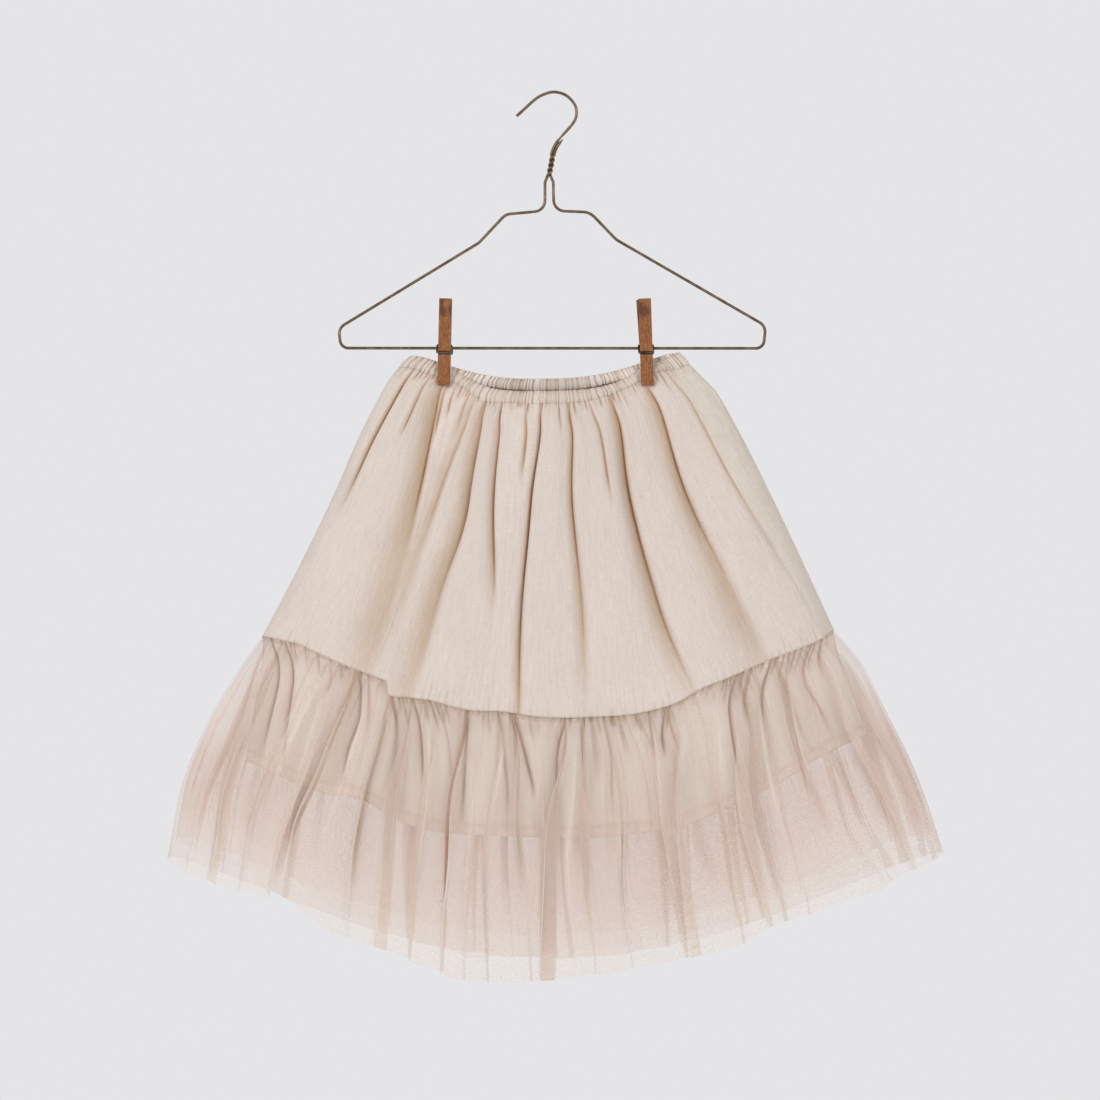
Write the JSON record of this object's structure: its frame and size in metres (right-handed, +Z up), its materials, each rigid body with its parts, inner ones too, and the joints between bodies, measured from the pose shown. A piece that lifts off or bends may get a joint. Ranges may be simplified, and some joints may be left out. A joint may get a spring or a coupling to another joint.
{
  "type": "net-flounced skirt on a pegged wire hanger",
  "caption": "Child's pull-on cream linen skirt with a gathered net flounce and lining tier, hung by spring clothes pegs from a twisted bronze wire hanger.",
  "frame": {"origin": "inner underside of the hook's crown, where the hanger rests on what holds it", "axes": "+Z up, +X to the wearer's left as the front is seen, front facing -Y"},
  "size_m": [0.6519, 0.0992, 0.7475],
  "materials": {
    "linen": "matte plain weave",
    "lining": "matte fine cotton",
    "ivory_net": "sheer net",
    "blush_net": "sheer net",
    "bronze_wire": "antique bronze, satin",
    "stained_wood": "oiled, worn",
    "spring_steel": "darkened"
  },
  "bodies": {
    "root": {"waistband_front": "linen", "waistband_back": "linen", "skirt_front": "linen", "skirt_back": "linen", "lining_front": "lining", "lining_back": "lining", "flounce_inner_front": "blush_net", "flounce_inner_back": "blush_net", "flounce_outer_front": "ivory_net", "flounce_outer_back": "ivory_net", "hanger": "bronze_wire", "peg_left_lever_front": "stained_wood", "peg_left_lever_back": "stained_wood", "peg_left_spring": "spring_steel", "peg_right_lever_front": "stained_wood", "peg_right_lever_back": "stained_wood", "peg_right_spring": "spring_steel"}
  },
  "joints": []
}
